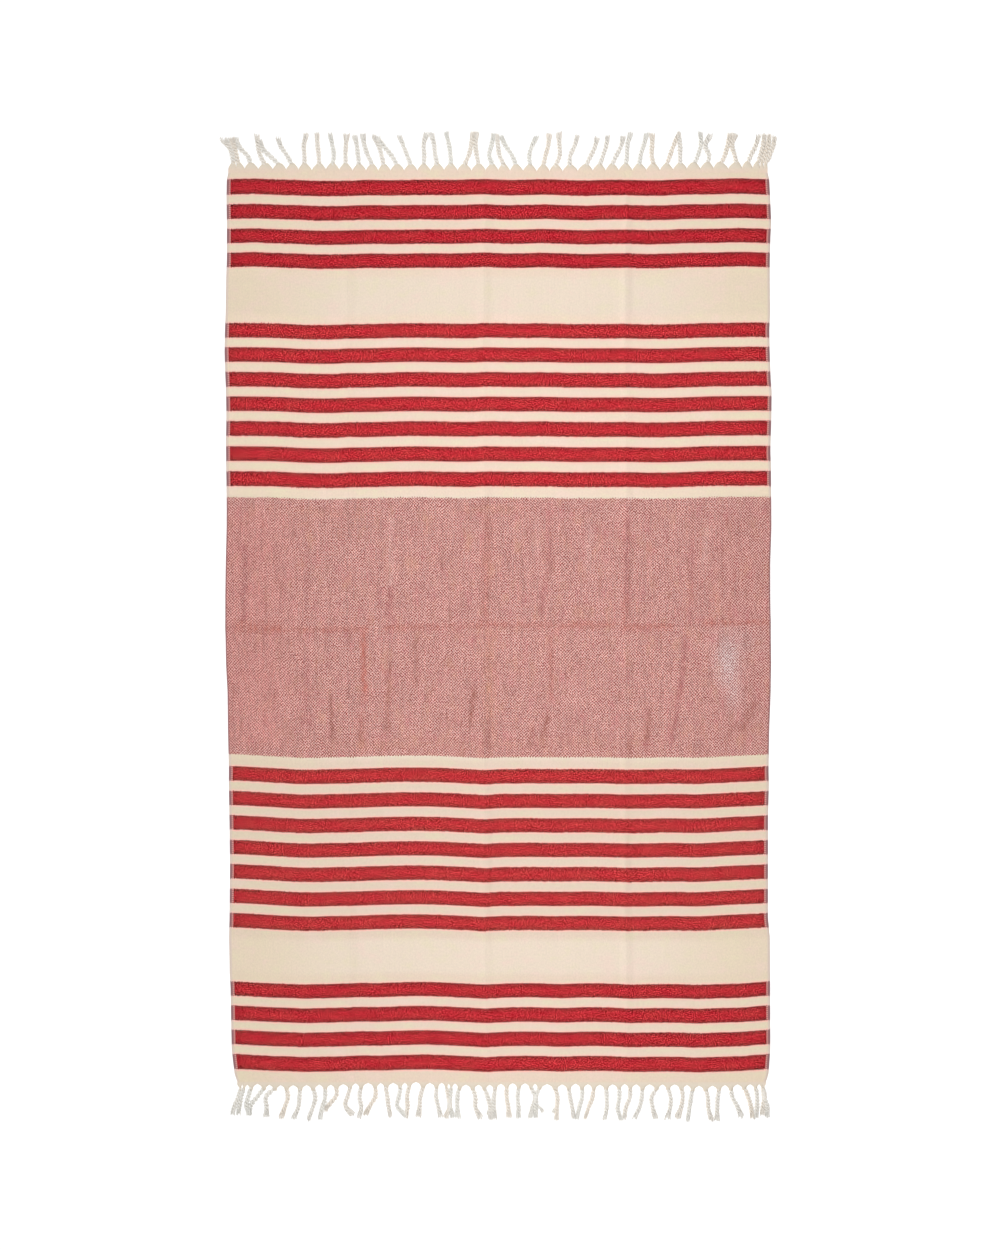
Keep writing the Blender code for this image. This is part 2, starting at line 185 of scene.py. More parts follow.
# Where the middle panel is paler. The last column says how much.
PALE_PATCHES = table(
    "flat along half_width half_length amount",
    (418, -66, 22, 48, 0.9), (430, -34, 38, 28, 0.4), (428, -122, 15, 34, 0.5),
)

# The marks along the folds of the middle panel, deep red, rust, tan or pale: partly the cloth's own colour,
# partly painted shade where the darker ones follow the crests of its wrinkles. The first table's run along
# the cloth, at a place across it. The second's run across it, along the cross fold, in pieces between the
# other folds.
MARK = "place start end half_width lean tint share"
MARKS = table(
    MARK,
    (-460, -238, 228, 75, 0, "blush", 0.5), (440, -236, 226, 60, 0, "crimson", 0.12),
    (-80, -242, -195, 260, 0, "tan", 0.22), (-22, -5, 225, 7.5, 0.01, "rust", 0.4),
    (-16, -235, 20, 10, 0.02, "tan", 0.45), (-49, -200, -95, 4.5, 0.02, "brown", 0.7),
    (-18, -245, -160, 4.5, -0.02, "brown", 0.5), (93, 80, 228, 5, -0.02, "crimson", 0.42),
    (84, 5, 110, 5, 0.13, "crimson", 0.5), (96, -150, -10, 4.5, 0, "rust", 0.45),
    (234, 5, 215, 4.5, 0, "crimson", 0.5), (232, -20, 70, 6, 0, "rust", 0.4),
    (240, -250, -190, 5, 0.1, "brown", 0.6), (351, -15, 170, 5.5, 0.03, "crimson", 0.48),
    (330, -235, -5, 5, 0.13, "crimson", 0.65), (273, -240, -140, 5, 0.03, "brown", 0.7),
    (-197, -5, 100, 5, 0.05, "crimson", 0.6), (-245, -150, 5, 5, 0.02, "rust", 0.9),
    (-252, -240, -160, 7, 0.1, "brown", 0.65), (-306, -225, -110, 4.5, -0.03, "brown", 0.65),
    (-151, -130, -10, 4.5, 0.02, "brown", 0.45), (-202, -215, -60, 5, 0.06, "brown", 0.55),
    (84, -235, -150, 5.5, 0.15, "brown", 0.75), (60, -235, -170, 5, 0.15, "brown", 0.55),
    (-349, 30, 175, 5, -0.02, "crimson", 0.3), (-437, 0, 170, 16, -0.05, "blush", 0.55),
    (-392, 20, 90, 6, 0.05, "crimson", 0.4), (-462, -20, 160, 5, 0, "crimson", 0.3),
    (-425, -235, -20, 26, 0, "blush", 0.6), (-352, -200, -40, 8, 0.05, "crimson", 0.4),
    (455, -215, -130, 8, 0.45, "brown", 0.6), (425, -230, -165, 7, 0.4, "brown", 0.45),
    (-195, 60, 215, 7, 0, "pale", 0.3), (165, 80, 215, 9, 0, "pale", 0.25),
    (68, 110, 205, 10, 0, "pale", 0.25), (378, 95, 195, 6, 0, "pale", 0.3),
    (-90, -200, -60, 20, 0, "pale", 0.15), (-330, 190, 228, 60, 0, "tan", 0.3),
    (-10, 195, 230, 45, 0, "tan", 0.4), (150, -235, -190, 60, 0, "tan", 0.3),
    (-200, -238, -205, 70, 0, "tan", 0.3),
)
MARK_SPREAD = 2.0
MARK_FADE = 26.0
CROSS_MARKS = table(
    MARK,
    (-5, -485, -385, 10, 0, "rust", 0.72), (-6, -400, -228, 6, 0, "rust", 0.54),
    (-4.5, -215, -95, 6.5, 0, "rust", 0.54), (-1, -110, -40, 5.5, 0, "rust", 0.35),
    (2, -55, 30, 6.5, 0, "rust", 0.55), (0, 20, 110, 6, 0, "rust", 0.45),
    (1, 104, 218, 6.5, 0, "rust", 0.58), (-2, 216, 326, 7, 0, "rust", 0.67),
    (3, 364, 498, 6.5, 0, "rust", 0.6),
)
CROSS_MARK_SPREAD = 1.7
CROSS_MARK_FADE = 14.0
MARK_WANDER = 3.0

CLOTH_CELLS_ACROSS = 204
COLUMN_SAMPLES = 4001
CREASE_CELL_SHARE = 0.9
CREASE_CELL_REACH = 1.5
NARROW_BAND = 40.0
NARROW_BAND_CELL = 7.0
WIDE_BAND_CELL = 8.4
SELVEDGE_ROUNDING = 1.6
SELVEDGE_THICKNESS = 0.8
STRIPE_CROWN = 0.35
CROWN_SLOPE = 8.0
SWELL_HEIGHT = 0.5
SWELL_ACROSS = 46.0
SWELL_ALONG = 170.0
SWELL_LAYER = 0.5

# ---- the fringe's own sizes

# How wide a gather is, as a share of its piece of cloth, at each step from its notches out to its root.
GATHER = "out width"
TOP_GATHER = table(
    GATHER,
    (0.12, 0.99), (0.26, 0.95), (0.4, 0.88), (0.54, 0.79), (0.68, 0.67), (0.81, 0.55), (0.92, 0.45),
    (1, 0.38),
)
BOTTOM_GATHER = table(
    GATHER,
    (0.06, 0.97), (0.13, 0.88), (0.22, 0.74), (0.34, 0.57), (0.48, 0.44), (0.64, 0.36), (0.82, 0.33),
    (1, 0.32),
)

# How far out the notches between the gathers lie, at each place across both ends.
NOTCHES = table(
    "across top bottom",
    (-480, 835.4, 840.2), (-440, 833.7, 838.8), (-400, 833.2, 841.2), (-360, 832.4, 840.2),
    (-320, 832.4, 839.6), (-280, 832.5, 838.2), (-240, 831.3, 836.6), (-200, 831.5, 836.2),
    (-150, 831.3, 835.4), (-100, 831.7, 837.2), (-60, 831.9, 839.4), (-30, 831.7, 840.4), (0, 831, 838.6),
    (30, 829.9, 837.1), (60, 830.5, 838), (100, 829.5, 839.6), (140, 830.1, 838.8), (180, 831.7, 839.6),
    (220, 831.5, 838.9), (250, 831.7, 839.8), (290, 832.2, 840), (330, 833.7, 839.4), (370, 835.1, 841.7),
    (410, 834.7, 841.1), (450, 836.3, 839), (485, 836.6, 839),
)
NOTCH_UNEVENNESS = 0.7

# Small wisps of yarn that have come loose from a cord: where they leave it, and where they end.
BOTTOM_WISPS = table(
    "root out tip reach",
    (-27, 34, -20, 53), (73, 30, 80, 46), (103, 32, 99, 47), (334, 38, 326, 53),
)
WISP_YARNS = 5
WISP_SPREAD = 6.6
WISP_UNEVENNESS = 3.0
WISP_TIP_HEIGHT = 1.05
WISP_YARN_RADIUS = 0.98
WISP_SHADE = 0.1
WISP_TINT = -0.5

FRINGES = table(
    "name node side outward cloth_end gather_length root_line girth cords gather wisps",
    ("towel_fringe_top", "fringe_top", "top", 1, CLOTH_TOP, 12.8, 842.0, 1.0, TOP_CORDS, TOP_GATHER, []),
    (
        "towel_fringe_bottom", "fringe_bottom", "bottom", -1, CLOTH_BOTTOM, 10.4, 846.0, 0.95,
        BOTTOM_CORDS, BOTTOM_GATHER, BOTTOM_WISPS,
    ),
)
FRINGE_SEED = 11

GATHER_CELLS = 10
STRIP_ROWS = 4
GATHER_CROWN = 3.6
GATHER_SLOPE = 1.3
GATHER_OVERLAP = 1.0
SEAM_STEP = 0.06

CORD_FLATNESS = 0.6
CORD_PITCH = 12.0
CORD_BURIED = 5.0
CORD_RINGS = 72
CORD_SWELL = [(-8.0, 0.2), (-4.0, 0.5), (0.0, 0.85), (4.0, 1.0)]
CORD_UNEVENNESS = 0.06
CORD_UNEVEN_EVERY = (3.0, 6.0)
PLY_RADIUS = 2.7
PLY_OFFSET = 2.35
PLY_ENDS_SHORT = 6.0
PLY_OPENING = 0.3
PLY_THINNING = 0.4
PLY_SIDES = 9
PLY_LOBES = 3
PLY_LOBE_DEPTH = 0.13
PLY_LOBE_PITCH = 7.0
# How far round each ply the painted shade of the groove between the plies reaches.
GROOVE_SHADE_WIDTH = 0.25
CAP_SIZES = (0.04, 0.75)

FRAYED_LENGTH = 20.0
FRAYED_UNEVENNESS = (0.85, 1.15)
FRAYED_OVERHANG = (1.0, 7.0)
FRAYED_NECK = 0.55
FRAYED_SPREAD = 1.45
FRAYED_FLARE = 1.2
FRAYED_RISE = 2.0
FRAYED_CLOSING = 0.6
FRAYED_DROOP = 1.2
FRAYED_YARNS = 14
YARN_RADIUS = 0.7
YARN_UNEVENNESS = (0.8, 1.2)
YARN_CURL = 0.8
YARN_SHADE = (-0.7, -0.1)
YARN_SIDES = 4
YARN_RINGS = 8

# Places in the bake maps, as shares of the whole map.
BAKE_GAP = 0.004
TUBE_COLUMNS = 28
TUBE_ROWS = 28
TUBES_HEIGHT = 0.9
TUBE_GAP = 0.1
HEADER_BAKE_UNDER = (0.01, 0.91)
HEADER_BAKE_OVER = (0.01, 0.955)
HEADER_BAKE_SIZE = (0.98, 0.035)


# ---- colours

def screen(red, green, blue):
    """A colour from its three values as shown on a screen, 0 to 255."""
    shares = [value / 255 for value in (red, green, blue)]
    return tuple(s / 12.92 if s <= 0.04045 else ((s + 0.055) / 1.055) ** 2.4 for s in shares) + (1.0,)


ECRU = screen(238, 221, 202)
ECRU_NARROW = screen(236, 214, 194)
ECRU_SIDE = screen(235, 217, 191)
ECRU_ROSY = screen(243, 216, 203)
ECRU_STRAW = screen(234, 223, 191)
ECRU_EDGE = screen(224, 206, 197)
GATHERED = screen(230, 218, 200)
PINK_LINE = screen(255, 203, 189)
SELVEDGE_OUTER = screen(158, 114, 116)
SELVEDGE_INNER = screen(190, 116, 112)
SELVEDGE_DOT = screen(236, 180, 174)
PANEL_SELVEDGE = screen(140, 100, 104)
PANEL_SELVEDGE_DOT = screen(196, 150, 150)
PANEL_RED = screen(136, 40, 36)
PANEL_ECRU = screen(241, 195, 187)
PANEL_TAN = screen(206, 152, 120)
PANEL_ROSE = screen(196, 108, 118)
PANEL_RED_PALE = screen(156, 100, 98)
PANEL_ECRU_PALE = screen(252, 238, 236)
CORD_COLOUR = screen(250, 246, 239)
CORD_SHADE = screen(210, 202, 191)
CORD_WARM = screen(246, 228, 206)
CORD_COOL = screen(232, 237, 232)

# What a pale fleck and a warmer patch add to the three values of a stripe's red.
RED_FLECK = (0.075, 0.0085, 0.0100)
RED_WARMTH = (0.0, 0.0120, 0.0045)

MARK_TINTS = {
    "blush": screen(214, 142, 136),
    "crimson": screen(180, 106, 106),
    "rust": screen(196, 116, 104),
    "tan": screen(206, 146, 122),
    "brown": screen(162, 98, 86),
    "pale": screen(226, 184, 178),
}

# The red of a stripe at each depth in from its edge: a dark line of painted shade just inside it, then
# clearer inwards.
RED_TONES = table(
    "depth colour",
    (0, screen(170, 60, 55)), (0.9, screen(134, 44, 42)), (2, screen(130, 40, 40)),
    (3.7, screen(154, 40, 42)), (5.5, screen(171, 36, 43)), (7.3, screen(182, 33, 44)),
    (9.2, screen(188, 33, 45)), (11, screen(191, 35, 46)),
)
FADED_RED = screen(235, 112, 96)

# How much the red of each part of the towel has faded, and how light it and its narrow ecru bands are.
FADINGS = table(
    "along share light",
    (CLOTH_BOTTOM, 0.055, 0.995), (-650, 0.055, 0.995), (-560, 0.13, 0.96), (-255, 0.13, 0.96),
    (250, 0.06, 1.055), (555, 0.06, 1.055), (650, 0, 1.02), (CLOTH_TOP, 0, 1),
)

# The weave: its threads, the diamonds of the panel, the teeth along a stripe's edge, the dots of a
# selvedge, how far out the ends take on the narrow bands' colour and the gathers' own, and a grain so
# long that its noise hardly changes that way.
THREAD = 1.3
LATTICE_ACROSS = 5.15
LATTICE_ALONG = 5.4
TOOTH = 4.4
SELVEDGE_DOTS_EVERY = 3.6
NARROW_BANDS_FROM = 800.0
NARROW_BANDS_FULLY = 812.0
GATHERED_FULLY = 843.0
UNCHANGING = 4000.0

# The yarn: how far apart its fibres lie, how many turns they lean over, and how far u goes once round it.
FIBRE_PITCH = 2.2
FIBRE_TURNS = 2
ONCE_ROUND = 1000.0

COTTON_SPECULAR = 0.1
COTTON_SHEEN_ROUGHNESS = 0.6

# How deep the relief of the cloth and of the yarn is, how rough they are, and how strong their sheen.
CLOTH_FINISH = (0.16, 0.92, 0.05)
YARN_FINISH = (0.12, 0.95, 0.15)


# ---- the shape of the cloth

def ridge(offset, half_width):
    """A soft ridge across a fold: 1 on its crest, and 0 from half its width outwards."""
    return np.cos(math.pi / 2 * np.clip(np.abs(offset) / half_width, 0, 1)) ** 2


def fade(along, start, end):
    """How much of a fold is left near its ends, where it runs out into the flat cloth."""
    length = min(FOLD_FADE, (end - start) / 2)
    inside = np.minimum(along - start, end - along)
    return np.sin(math.pi / 2 * np.clip(inside / length, 0, 1)) ** 2


def fold_relief(flat, along):
    """The folds that the solids have too."""
    crest = CROSS_FOLD_ALONG + CROSS_FOLD_SLANT * flat
    height = CROSS_FOLD_HEIGHT * ridge(along - crest, CROSS_FOLD_HALF_WIDTH)
    for fold in MAIN_FOLDS + PANEL_FOLDS:
        uneven = 1 + FOLD_UNEVENNESS * np.sin(along / FOLD_WAVE + fold.flat)
        rise = fold.height * uneven * fade(along, fold.start, fold.end)
        height = np.maximum(height, rise * ridge(flat - fold.flat, fold.half_width))
    return height


def wrinkle_relief(flat, along):
    height = np.zeros_like(flat)
    for wrinkle in WRINKLES:
        middle = (wrinkle.start + wrinkle.end) / 2
        crest = wrinkle.flat + wrinkle.lean * (along - middle)
        across = ridge(flat - crest, wrinkle.half_width)
        height += wrinkle.height * across * fade(along, wrinkle.start, wrinkle.end)
    return height


def swell(flat, along):
    """The slight waves that no cloth lies without, longer along the warp than across it."""
    points = zip((flat / SWELL_ACROSS).ravel(), (along / SWELL_ALONG).ravel())
    values = np.array([noise.noise(Vector((x, y, SWELL_LAYER))) for x, y in points])
    return SWELL_HEIGHT * np.clip(0.5 + values.reshape(flat.shape), 0, 1)


def selvedges(along):
    """Where the left and right selvedge lie at this place along the towel."""
    places, left, right = zip(*EDGES[::-1])
    return np.interp(along, places, left), np.interp(along, places, right)


def group_drift(flat, values):
    """One group's drift at each place, with the corners of its table rounded."""
    places = np.arange(-HALF_WIDTH, HALF_WIDTH + 1)
    rough = np.interp(places, [row.across for row in WEFT_DRIFT], values)
    window = np.hanning(DRIFT_SMOOTHED_OVER * 2 + 1)
    padded = np.pad(rough, DRIFT_SMOOTHED_OVER, mode="edge")
    smooth = np.convolve(padded, window / window.sum(), mode="valid")
    return np.interp(flat, places, smooth)


def weft_drift(flat, along):
    """How far along the towel a weft thread has drifted, fading out where the cloth ends."""
    top_start, upper_end = RED_STRIPES[3].lower, RED_STRIPES[4].upper
    lower_start, bottom_end = RED_STRIPES[17].lower, RED_STRIPES[18].upper
    places = [bottom_end, lower_start, PANEL_LOWER, PANEL_UPPER, upper_end, top_start]
    shares = {
        "bottom": [1, 0, 0, 0, 0, 0],
        "lower": [0, 1, 1, 0, 0, 0],
        "upper": [0, 0, 0, 1, 1, 0],
        "top": [0, 0, 0, 0, 0, 1],
    }
    total = np.zeros_like(flat)
    for group, share in shares.items():
        values = [getattr(row, group) for row in WEFT_DRIFT]
        total += np.interp(along, places, share) * group_drift(flat, values)
    ends = [CLOTH_BOTTOM, RED_STRIPES[-1].lower, RED_STRIPES[0].upper, CLOTH_TOP]
    return total * np.interp(along, ends, [0, 1, 1, 0])


def stripe_depth(along):
    """How deep inside a red stripe this place is. It is negative outside them."""
    return np.max([np.minimum(upper - along, along - lower) for upper, lower in RED_STRIPES], axis=0)


def panel_depth(along):
    return np.minimum(PANEL_UPPER - along, along - PANEL_LOWER)


def paleness(flat, along):
    """How pale the middle panel is at each place, from 0 to 1."""
    total = np.zeros_like(flat)
    for patch in PALE_PATCHES:
        away = np.hypot((flat - patch.flat) / patch.half_width, (along - patch.along) / patch.half_length)
        total = np.maximum(total, patch.amount * np.exp(-(away**2)))
    return total


def cloth_columns():
    """Places across the flat cloth for the lines of its mesh, closer together on the main folds."""
    places = np.linspace(-HALF_WIDTH, HALF_WIDTH, COLUMN_SAMPLES)
    density = np.ones_like(places)
    for fold in MAIN_FOLDS:
        density += CREASE_CELL_SHARE * ridge(places - fold.flat, fold.half_width * CREASE_CELL_REACH)
    rank = np.concatenate([[0], np.cumsum(density[1:] + density[:-1])])
    even = np.linspace(0, rank[-1], CLOTH_CELLS_ACROSS - 1)
    inner = np.interp(even, rank, places)[1:-1]
    border = HALF_WIDTH - SELVEDGE_ROUNDING
    return np.concatenate([[-HALF_WIDTH, -border], inner, [border, HALF_WIDTH]])


def cloth_rows():
    """Places along the cloth for the lines of its mesh, one at each edge of a stripe."""
    bounds = [CLOTH_TOP, CLOTH_BOTTOM, PANEL_UPPER, PANEL_LOWER]
    bounds += [edge for stripe in RED_STRIPES for edge in stripe]
    bounds.sort()
    rows = [bounds[0]]
    for lower, upper in zip(bounds, bounds[1:]):
        size = NARROW_BAND_CELL if upper - lower < NARROW_BAND else WIDE_BAND_CELL
        cells = math.ceil((upper - lower) / size)
        rows += list(np.linspace(lower, upper, cells + 1)[1:])
    return np.array(rows)


def cloth_surface(flat, along):
    """The cloth's underside, lying on its folds, in metres."""
    left, right = selvedges(along)
    across = left + (flat / CLOTH_WIDTH + 0.5) * (right - left)
    lifted = fold_relief(flat, along) + wrinkle_relief(flat, along) + swell(flat, along)
    return stacked(across, along + weft_drift(flat, along), lifted) * MM


def cloth_thickness(flat, along):
    """The thickness in metres, rounded off at the selvedges and crowned on each red stripe."""
    inward = HALF_WIDTH - np.abs(flat)
    rounded = np.interp(inward, [0, SELVEDGE_ROUNDING], [SELVEDGE_THICKNESS, CLOTH_THICKNESS])
    crown = np.clip(stripe_depth(along) / CROWN_SLOPE, 0, 1) * np.clip(inward / CROWN_SLOPE, 0, 1)
    return (rounded + STRIPE_CROWN * crown) * MM


# ---- meshes

class Surface:
    """Collects the parts of one piece, and makes its mesh."""

    def __init__(self):
        self.parts = []
        self.count = 0
        self.tubes = 0

    def add(self, points, faces, weave, bake, material=0, sharp=False, shade=0.0, tint=0.0):
        """Points (n, 3), four-sided faces (m, 4), and in each map a place for their corners (m, 4, 2)."""
        part = {
            "points": points,
            "faces": faces + self.count,
            "weave": weave,
            "OFBake": bake,
            "material": np.full(len(faces), material),
            "sharp": np.broadcast_to(sharp, len(faces)),
            "shade": np.broadcast_to(shade, len(points)),
            "tint": np.broadcast_to(tint, len(points)),
        }
        self.parts.append(part)
        self.count += len(points)

    def tube_bake(self, around, along):
        """Places in the bake map for one more tube, in a cell of its own."""
        row, column = divmod(self.tubes, TUBE_COLUMNS)
        self.tubes += 1
        u = (column + TUBE_GAP + around * (1 - 2 * TUBE_GAP)) / TUBE_COLUMNS
        v = (row + TUBE_GAP + along * (1 - 2 * TUBE_GAP)) / TUBE_ROWS * TUBES_HEIGHT
        return stacked(u, v)

    def whole(self, name):
        return np.concatenate([part[name] for part in self.parts])

    def mesh(self, name):
        mesh = bpy.data.meshes.new(name)
        mesh.from_pydata(self.whole("points").tolist(), [], self.whole("faces").tolist())
        for layer in ("weave", "OFBake"):
            uv = mesh.uv_layers.new(name=layer)
            uv.data.foreach_set("uv", self.whole(layer).astype(np.float32).ravel())
        mesh.polygons.foreach_set("material_index", self.whole("material").astype(np.int32))
        mesh.polygons.foreach_set("use_smooth", np.ones(len(mesh.polygons), bool))
        corner_edges = np.zeros(len(mesh.loops), np.int32)
        mesh.loops.foreach_get("edge_index", corner_edges)
        sharp = np.zeros(len(mesh.edges), bool)
        sharp[corner_edges[np.repeat(self.whole("sharp"), 4)]] = True
        mesh.edges.foreach_set("use_edge_sharp", sharp)
        for layer in ("shade", "tint"):
            point_values(mesh, layer, self.whole(layer))
        mesh.update()
        return mesh


def point_values(mesh, name, values):
    layer = mesh.attributes.new(name, "FLOAT", "POINT")
    layer.data.foreach_set("value", np.asarray(values, np.float32))


def new_object(name, data):
    obj = bpy.data.objects.new(name, data)
    bpy.context.scene.collection.objects.link(obj)
    return obj


def new_piece(name, mesh, materials):
    for material in materials:
        mesh.materials.append(material)
    obj = new_object(name, mesh)
    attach(obj, "root")
    return obj


def stacked(*values):
    """Arrays of one shape as the columns of another."""
    return np.stack(values, axis=-1)


def grid_faces(rows, columns):
    """Faces of a grid of points numbered row by row."""
    corner = (np.arange(rows - 1)[:, None] * columns + np.arange(columns - 1)).ravel()
    return stacked(corner, corner + 1, corner + columns + 1, corner + columns)


def free_edges(faces):
    """The start and end of each edge that belongs to one face only."""
    ahead = stacked(faces, np.roll(faces, -1, axis=1)).reshape(-1, 2)
    met = set(map(tuple, ahead[:, ::-1].tolist()))
    return np.array([edge for edge in ahead.tolist() if tuple(edge) not in met]).T


def add_sheet(surface, under, over, flat, along, upper, bake, sharp_ends):
    """A closed sheet of two layers of points. The edges of its rim are sharp between two sharp ends."""
    start, end = free_edges(upper)
    rim = stacked(end + len(flat), start + len(flat), start, end)
    faces = np.concatenate([upper[:, ::-1], upper + len(flat), rim])
    points = np.concatenate([under, over]).reshape(-1, 3)
    weave = np.tile(stacked(flat, along) * MM, (2, 1))
    sharp = np.zeros(len(faces), bool)
    sharp[len(upper) * 2 :] = sharp_ends[start] & sharp_ends[end]
    surface.add(points, faces, weave[faces], bake(faces, len(upper)), 0, sharp)


def cloth_bake(flat, along, faces, count):
    """Places in the bake map: the top, beside it a smaller underside, and the rim in a thin column."""
    share = stacked(flat / CLOTH_WIDTH + 0.5, (along - CLOTH_BOTTOM) / CLOTH_LENGTH)
    wide = CLOTH_WIDTH / CLOTH_LENGTH
    top = BAKE_GAP + share * (wide - BAKE_GAP * 2, 1 - BAKE_GAP * 2)
    back = 1 - wide - BAKE_GAP * 6
    under = (wide + BAKE_GAP, BAKE_GAP) + share * (back, back / wide)
    steps = len(faces) - count * 2
    rim_up = BAKE_GAP + (np.arange(steps)[:, None] + (0, 1, 1, 0)) / steps * (1 - BAKE_GAP * 2)
    rim_across = wide + back + BAKE_GAP * np.broadcast_to((2, 2, 4, 4), rim_up.shape)
    layers = np.concatenate([under, top])[faces[: count * 2]]
    return np.concatenate([layers, stacked(rim_across, rim_up)])


def make_cloth(material):
    """The woven panel as a thin closed sheet."""
    columns, rows = cloth_columns(), cloth_rows()
    flat, along = np.meshgrid(columns, rows)
    under = cloth_surface(flat, along)
    over = under.copy()
    over[..., 2] += cloth_thickness(flat, along)
    flat, along = flat.ravel(), along.ravel()
    cut_ends = np.isclose(along, CLOTH_TOP) | np.isclose(along, CLOTH_BOTTOM)
    bake = partial(cloth_bake, flat, along)
    surface = Surface()
    add_sheet(surface, under, over, flat, along, grid_faces(len(rows), len(columns)), bake, cut_ends)
    mesh = surface.mesh("towel_cloth")
    places, fadings, lights = zip(*FADINGS)
    values = {
        "stripe_depth": stripe_depth(along),
        "panel_depth": panel_depth(along),
        "faded": np.interp(along, places, fadings),
        "light": np.interp(along, places, lights),
        "pale": paleness(flat, along),
    }
    for name, value in values.items():
        point_values(mesh, name, np.tile(value, 2))
    return new_piece("towel_cloth", mesh, [material])


# ---- fringe

def through(knots, t):
    """The values at the shares t on the smooth curve through evenly spaced knots (Catmull-Rom)."""
    ends = [2 * knots[0] - knots[1], *knots, 2 * knots[-1] - knots[-2]]
    first = np.clip((t * (len(knots) - 1)).astype(int), 0, len(knots) - 2)
    f = t * (len(knots) - 1) - first
    a, b, c, d = (np.take(ends, first + i) for i in range(4))
    return b + f * ((c - a) + f * ((2 * a - 5 * b + 4 * c - d) + f * (3 * b - a - 3 * c + d))) / 2


def around_line(angle, side, up):
    """The direction at this angle round each point of a line."""
    return np.cos(angle)[..., None] * side + np.sin(angle)[..., None] * up


def add_tube(surface, centre, side, up, radius, shade, tint):
    """A tube of yarn round a line of points, with a radius for each ring and side (rings, sides)."""
    rings, sides = radius.shape
    turn = np.broadcast_to(np.arange(sides) / sides * 2 * math.pi, radius.shape)
    ring = centre[:, None] + radius[..., None] * around_line(turn, side[:, None], up[:, None])
    i, j = np.meshgrid(np.arange(rings - 1), np.arange(sides), indexing="ij")
    first, after = i * sides + j, i * sides + (j + 1) % sides
    faces = stacked(first, after, after + sides, first + sides).reshape(-1, 4)
    length = np.concatenate([[0], np.cumsum(np.linalg.norm(np.diff(centre, axis=0), axis=1))]) * MM
    around = stacked(j, j + 1, j + 1, j).reshape(-1, 4) / sides
    ends = stacked(i, i, i + 1, i + 1).reshape(-1, 4)
    weave = stacked(around, length[ends])
    bake = surface.tube_bake(around, ends / (rings - 1))
    points = ring.reshape(-1, 3) * (MM, MM, MM * CORD_FLATNESS)
    surface.add(points, faces, weave, bake, 1, False, shade, tint)


def moving_frame(centre):
    """A level side vector and an upward one at each point of a line."""
    ahead = np.gradient(centre, axis=0)
    ahead /= np.linalg.norm(ahead, axis=1)[:, None]
    side = np.cross(ahead, (0, 0, 1))
    side /= np.linalg.norm(side, axis=1)[:, None]
    return side, np.cross(side, ahead)


def capped(radius):
    """The radius of each ring, closed to a point at both ends."""
    sizes = np.ones(len(radius))
    sizes[: len(CAP_SIZES)] = CAP_SIZES
    sizes[-len(CAP_SIZES) :] = CAP_SIZES[::-1]
    return (radius * sizes)[:, None]


def notch_line(fringe, across):
    """How far out the notches lie at this place across the towel."""
    places = [notch.across for notch in NOTCHES]
    return np.interp(across, places, [getattr(notch, fringe.side) for notch in NOTCHES])


def cord_size(fringe, cord, outs):
    """The cord's size as a share of its full one, growing out of its gather."""
    gather_end = notch_line(fringe, cord.root) + fringe.gather_length
    places, shares = zip(*CORD_SWELL)
    return fringe.girth * np.interp(fringe.root_line + outs - gather_end, places, shares)


def cord_line(fringe, cord, outs):
    """The cord's middle line at these distances past the root line, running straight into its gather."""
    across = through((cord.root, cord.low, cord.high, cord.tip), np.clip(outs / cord.reach, 0, 1))
    along = fringe.outward * (fringe.root_line + outs)
    height = (PLY_RADIUS + PLY_OFFSET) * cord_size(fringe, cord, outs)
    return stacked(across, along, height)


def add_cord(surface, fringe, cord, chance):
    """Two plies twisted round each other, unwinding into loose yarns at the tip."""
    outs = np.linspace(-CORD_BURIED, cord.reach - PLY_ENDS_SHORT, CORD_RINGS)
    middle = cord_line(fringe, cord, outs)
    side, up = moving_frame(middle)
    phase = chance.uniform(0, 2 * math.pi)
    uneven = 1 + CORD_UNEVENNESS * np.sin(outs / chance.uniform(*CORD_UNEVEN_EVERY) + phase)
    size = cord_size(fringe, cord, outs) * uneven
    loose = np.clip(1 - (cord.reach - outs) / FRAYED_LENGTH, 0, 1)
    corner = np.arange(PLY_SIDES) / PLY_SIDES * 2 * math.pi
    twist = 2 * math.pi * outs / PLY_LOBE_PITCH
    lobes = 1 + PLY_LOBE_DEPTH * np.cos((corner - twist[:, None]) * PLY_LOBES)
    radius = lobes * capped(PLY_RADIUS * size * (1 - PLY_THINNING * loose))
    reach = PLY_OFFSET * size * (1 + PLY_OPENING * loose)
    tint = chance.uniform(-1, 1)
    for ply in range(2):
        turn = phase + ply * math.pi + 2 * math.pi * outs / CORD_PITCH
        centre = middle + reach[:, None] * around_line(turn, side, up)
        # Painted shade: each ply is darker on the side that faces the other, in the groove between them.
        groove_shade = np.clip(GROOVE_SHADE_WIDTH - np.cos(corner - turn[:, None]), 0, 1)
        add_tube(surface, centre, side, up, radius, groove_shade.ravel(), tint)
    add_tuft(surface, fringe, cord, tint, chance)


def add_yarn(surface, line, radius, shade, tint):
    side, up = moving_frame(line)
    radii = np.repeat(capped(np.full(len(line), radius)), YARN_SIDES, axis=1)
    add_tube(surface, line, side, up, radii, shade, tint)


